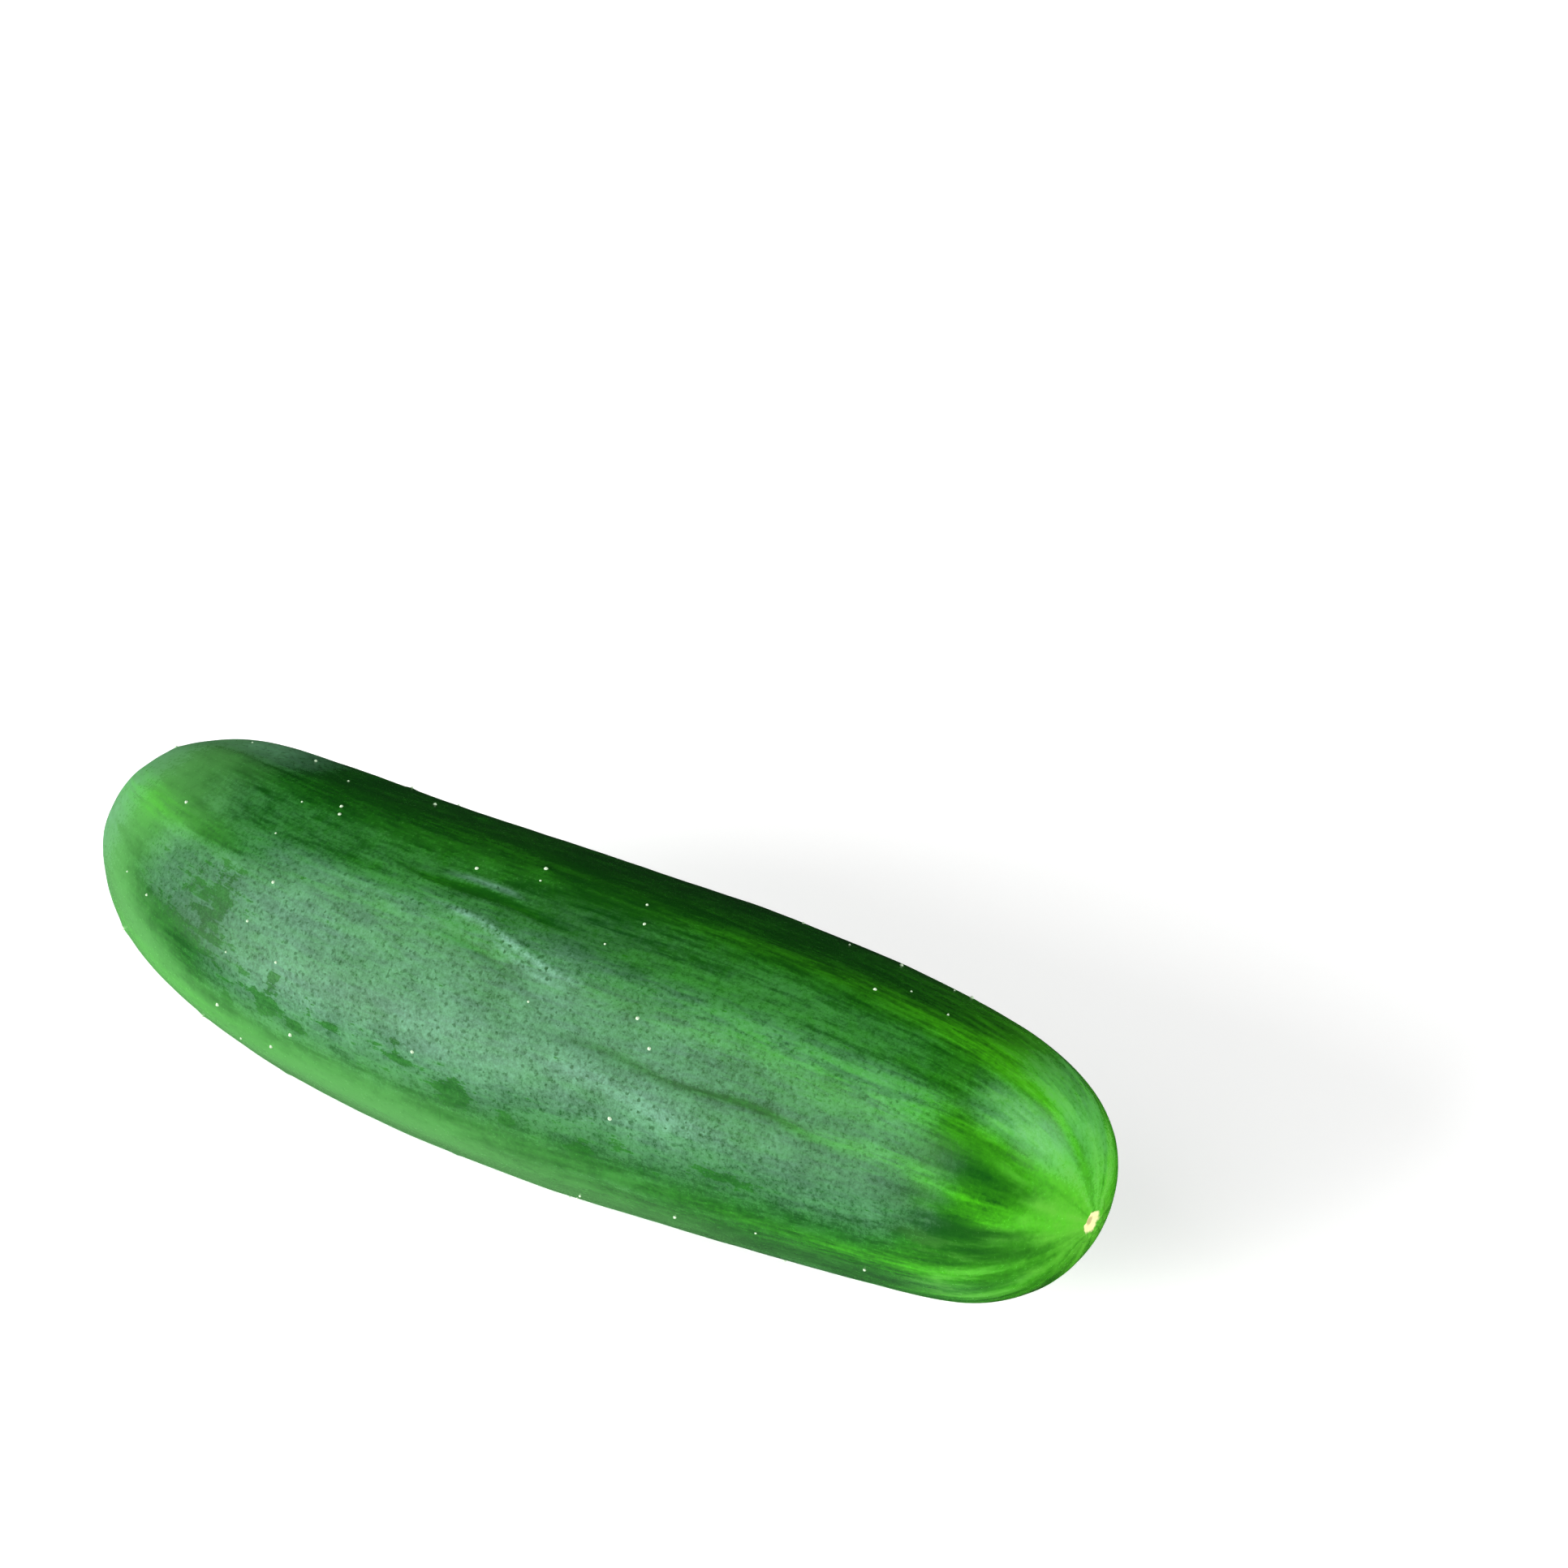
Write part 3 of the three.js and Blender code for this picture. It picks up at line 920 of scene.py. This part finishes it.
def skin_finish(colours):
    """Streaked green skin under a waxy film that is worn ragged in places"""
    f = Finish(bpy.data.materials.new("cucumber skin"))
    point = f.vector("place")
    straight = f.vector("straight")
    along = f.node("ShaderNodeSeparateXYZ", {}, {0: straight}, "Z")
    mottle = f.noise(point, *MOTTLE)
    blotch = f.noise(point, *BLOTCH)
    fleck = f.noise(point, *FLECK)
    grain = f.noise(point, *GRAIN)

    # what is drawn out along the fruit, with short dashes instead near the blossom scar
    broad = 0.7 * f.stretched_noise(straight, *BROAD_DASH) + 0.3 * mottle
    dash = f.blend(f.step(along, *TIP_BROAD_DASHES), f.stretched_noise(straight, *DASH), broad)
    near_tip = f.step(along, *TIP_DASHES)
    fibre = f.blend(near_tip, f.stretched_noise(straight, *FIBRE), dash)
    thread = f.blend(near_tip, f.stretched_noise(straight, *THREAD), 0.5)
    strand = f.step(0.6 * thread + 0.4 * fibre, 0.38, 0.62)

    # the body, from deep green to its lighter green, paler at the stem end and on the belly, where the
    # paleness is partly painted light from below
    # the shade patches hold the skin's own tone with painted shade and painted light; they also dim or
    # lift the streaks, the rays and the blossom end's colour
    shade = f.number("shade")
    tone = 0.26 * fibre + 0.26 * thread + 0.2 * mottle + 0.28 * grain + 0.15 * shade
    colour = f.mix(f.step(tone, 0.41, 0.61), colours.deep, colours.body)
    pale_and_painted_light = f.number("pale_and_painted_light") + 0.5 * (mottle - 0.5) + 0.5 * (fibre - 0.5) + shade
    colour = f.mix(f.step(pale_and_painted_light, 0.0, 1.0) * 0.9, colour, colours.shoulder)

    # light streaks that run together round the blossom scar
    streak = f.number("streak") * (0.4 + 0.9 * strand + 0.8 * (grain - 0.5) + 0.35 * shade)
    colour = f.mix(streak, colour, colours.streak)
    ray = near_tip * f.step(dash + 0.3 * (fleck - 0.5), 0.46, 0.68) * f.step(along, *RAYS)
    colour = f.mix(ray * (0.2 + 0.2 * shade), colour, colours.ray)
    to_tip = f.step(along + 14 * (dash - 0.5) + 10 * (mottle - 0.5), *TIP_COLOUR)
    colour = f.mix(to_tip * (0.25 + 1.1 * dash + 0.4 * shade), colour, colours.tip)

    # the waxy film, partly painted highlight and sheen, with pores in it and worn ragged in places
    ragged = (0.9 * (mottle - 0.5) + 1.5 * (fleck - 0.5) + 1.6 * (thread - 0.5)
              + 0.8 * (grain - 0.5))
    worn = f.step(f.number("worn") + ragged, 0.42, 0.56)
    uneven = (0.95 + 3.0 * (grain - 0.5) + 1.5 * (blotch - 0.5) + 1.2 * (mottle - 0.5)
              + 0.8 * (fleck - 0.5))
    film_and_painted_sheen = f.number("film_and_painted_sheen")
    edge = f.step(film_and_painted_sheen + 0.9 * (fibre - 0.5) + 0.7 * (thread - 0.5) + 0.5 * (fleck - 0.5), 0.0, 0.5)
    film_and_painted_sheen = film_and_painted_sheen * edge * uneven * (1 - 0.85 * worn)
    colour = f.mix(film_and_painted_sheen * colours.bloom_and_sheen_strength, colour, colours.bloom_and_painted_sheen)
    cell = f.node("ShaderNodeTexVoronoi", {}, {"Vector": point, "Scale": PORE_RATE}, "Distance")
    pores = f.step(cell + 1.2 * (grain - 0.5), 0.3, 0.14) * (0.12 + 0.45 * film_and_painted_sheen)
    pores = pores * f.step(along, *BLOSSOM_END_PORES) * f.step(along, *STEM_END_PORES)
    colour = f.mix(pores + 0.2 * worn, colour, colours.deep)

    # scar, stub and their dry middles
    to_scar = f.number("to_scar")
    cork_grain = f.noise(point, *CORK_GRAIN)
    in_scar = f.step(to_scar + 0.9 * (cork_grain - 0.5), 2.05, 1.5)
    colour = f.mix(in_scar, colour, colours.scar)
    colour = f.mix(f.step(to_scar + 0.8 * (cork_grain - 0.5), 1.0, 0.5) * 0.7, colour, colours.cork)
    stub_colour = f.mix(f.step(cork_grain, 0.35, 0.65), colours.cork, colours.scar)
    stub_colour = f.mix(0.45, stub_colour, colours.shoulder)
    stub = f.number("stub")
    colour = f.mix(stub, colour, stub_colour)

    dry = in_scar + stub
    roughness = f.blend(film_and_painted_sheen, colours.gloss_roughness, colours.bloom_roughness)
    roughness = roughness + 0.15 * (grain - 0.5) + 0.3 * dry
    height = 0.6 * grain + 0.25 * thread - 0.6 * pores
    normal = f.node("ShaderNodeBump", {},
                    {"Strength": colours.grain_strength, "Distance": colours.grain_depth,
                     "Height": height})
    shader = f.node("ShaderNodeBsdfPrincipled", {},
                    {"Base Color": colour, "Roughness": roughness, "Normal": normal, "IOR": SKIN_IOR})
    return f.link_output(shader)


def spine_finish(colours):
    f = Finish(bpy.data.materials.new("spines"))
    shader = f.node("ShaderNodeBsdfPrincipled", {},
                    {"Base Color": (*colours.spine, 1), "Roughness": colours.spine_roughness})
    return f.link_output(shader)


def floor_finish(settings):
    f = Finish(bpy.data.materials.new("studio floor"))
    shade = f.noise(f.node("ShaderNodeTexCoord", {}, {}, "Object"), 1, 2, 0.5)
    colour = f.mix(shade * 0.03, settings.floor, settings.floor_shade)
    shader = f.node("ShaderNodeBsdfPrincipled", {},
                    {"Base Color": colour, "Roughness": 0.9, "Emission Color": (1, 1, 1, 1),
                     "Emission Strength": settings.floor_light})
    return f.link_output(shader)


# ---------------------------------------------------------------------------------------- stage

def aim(thing, place_at, target):
    thing.location = place_at
    thing.rotation_euler = (Vector(target) - Vector(place_at)).to_track_quat("-Z", "Y").to_euler()


def add_light(name, kind, place_at, target, **settings):
    light = bpy.data.lights.new(name, kind)
    for key, setting in settings.items():
        setattr(light, key, setting)
    thing = bpy.data.objects.new(name, light)
    aim(thing, place_at, target)
    bpy.context.scene.collection.objects.link(thing)
    return thing


def build_floor(settings):
    half = FLOOR_SIZE / 2
    mesh = bpy.data.meshes.new("floor")
    mesh.from_pydata([(-half, -half, 0), (half, -half, 0), (half, half, 0), (-half, half, 0)], [],
                     [(0, 1, 2, 3)])
    floor = link_object("floor", mesh)
    floor.data.materials.append(floor_finish(settings))
    # the skin is shaded by the floor's light but does not mirror it
    floor.visible_glossy = False


def build_lights(settings):
    """A tall softbox to the front left and one past the blossom end; a small spot on the stem end
    and low daylight from two sides only shade the skin and are not mirrored in it"""
    centre = Vector(LIT_POINT)
    add_light("front softbox", "AREA", centre + Vector(FRONT_SOFTBOX), centre,
              shape="RECTANGLE", size=1.7, size_y=2.0, energy=settings.front_power)
    add_light("end softbox", "AREA", centre + Vector(END_SOFTBOX), centre,
              shape="ELLIPSE", size=0.8, size_y=0.6, energy=settings.end_power)
    unmirrored = [
        add_light("stem end spot", "SPOT", STEM_SPOT, STEM_END, energy=settings.spot_power,
                  spot_size=math.radians(13), spot_blend=1.0, shadow_soft_size=0.06,
                  color=(0.9, 1.0, 0.98)),
        add_light("front daylight", "SUN", FRONT_DAYLIGHT, (0, 0, 0),
                  energy=settings.front_daylight, angle=DAYLIGHT_SPREAD),
        add_light("end daylight", "SUN", END_DAYLIGHT, (0, 0, 0),
                  energy=settings.end_daylight, angle=DAYLIGHT_SPREAD),
    ]
    for light in unmirrored:
        light.visible_glossy = False
    build_world(settings)


def build_world(settings):
    """Even dim light from all round, with a soft glow from the front below for the skin to mirror"""
    world = bpy.data.worlds.new("studio")
    f = Finish(world)
    toward = f.node("ShaderNodeTexCoord", {}, {}, "Generated")
    facing = f.node("ShaderNodeVectorMath", {"operation": "DOT_PRODUCT"},
                    {0: toward, 1: GLOW_TOWARD}, "Value")
    colour = f.mix(f.step(facing, 0.5, 0.9), settings.world, settings.glow)
    f.link_output(f.node("ShaderNodeBackground", {}, {"Color": colour}), "ShaderNodeOutputWorld")
    bpy.context.scene.world = world


def build_camera(settings):
    across = math.cos(settings.elevation)
    back = Vector((math.sin(settings.azimuth) * across, -math.cos(settings.azimuth) * across,
                   math.sin(settings.elevation)))
    camera = bpy.data.cameras.new("camera")
    camera.lens = settings.lens
    camera.sensor_width = 36
    camera.clip_start = 0.01
    thing = bpy.data.objects.new("camera", camera)
    target = Vector(settings.target)
    aim(thing, target + back * settings.distance, target)
    bpy.context.scene.collection.objects.link(thing)
    bpy.context.scene.camera = thing


# ------------------------------------------------------------------------------------ operators

class CUCUMBER_OT_fruit(bpy.types.Operator):
    """Model the fruit's skin with its ribs, warts, blossom scar and stem stub, and finish it"""

    bl_idname = "cucumber.fruit"
    bl_label = "Fruit"

    def execute(self, context):
        skin = build_skin(context.scene.cucumber_shape)
        skin.data.materials.append(skin_finish(context.scene.cucumber_finish))
        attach(skin, BODY)
        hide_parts(NODE)
        return {"FINISHED"}


class CUCUMBER_OT_spines(bpy.types.Operator):
    """Set the short spines on the skin"""

    bl_idname = "cucumber.spines"
    bl_label = "Spines"

    def execute(self, context):
        spines = build_spines(context.scene.cucumber_shape)
        spines.data.materials.append(spine_finish(context.scene.cucumber_finish))
        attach(spines, BODY)
        return {"FINISHED"}


class CUCUMBER_OT_stage(bpy.types.Operator):
    """Set up the floor, the soft lights and the camera"""

    bl_idname = "cucumber.stage"
    bl_label = "Stage"

    def execute(self, context):
        settings = context.scene.cucumber_stage
        build_floor(settings)
        build_lights(settings)
        build_camera(settings)
        context.scene.view_settings.view_transform = "Standard"
        return {"FINISHED"}


class CUCUMBER_PT_panel(bpy.types.Panel):
    """The steps in order, with their sizes and colours"""

    bl_idname = "CUCUMBER_PT_panel"
    bl_label = "Cucumber"
    bl_space_type = "VIEW_3D"
    bl_region_type = "UI"
    bl_category = "Cucumber"

    def draw(self, context):
        scene = context.scene
        steps = ((CUCUMBER_OT_fruit, (scene.cucumber_shape, scene.cucumber_finish)),
                 (CUCUMBER_OT_spines, ()),
                 (CUCUMBER_OT_stage, (scene.cucumber_stage,)))
        for operator, groups in steps:
            box = self.layout.box()
            box.operator(operator.bl_idname)
            for group in groups:
                for name in group.__annotations__:
                    box.prop(group, name)


CLASSES = (FruitShape, SkinFinish, StageSettings, CUCUMBER_OT_fruit, CUCUMBER_OT_spines,
           CUCUMBER_OT_stage, CUCUMBER_PT_panel)
GROUPS = {"cucumber_shape": FruitShape, "cucumber_finish": SkinFinish, "cucumber_stage": StageSettings}


def register():
    for cls in CLASSES:
        bpy.utils.register_class(cls)
    for name, group in GROUPS.items():
        setattr(bpy.types.Scene, name, bpy.props.PointerProperty(type=group))


def unregister():
    for name in GROUPS:
        delattr(bpy.types.Scene, name)
    for cls in reversed(CLASSES):
        bpy.utils.unregister_class(cls)


def main():
    register()
    bpy.ops.cucumber.fruit()
    bpy.ops.cucumber.spines()
    bpy.ops.cucumber.stage()


if __name__ == "__main__":
    main()
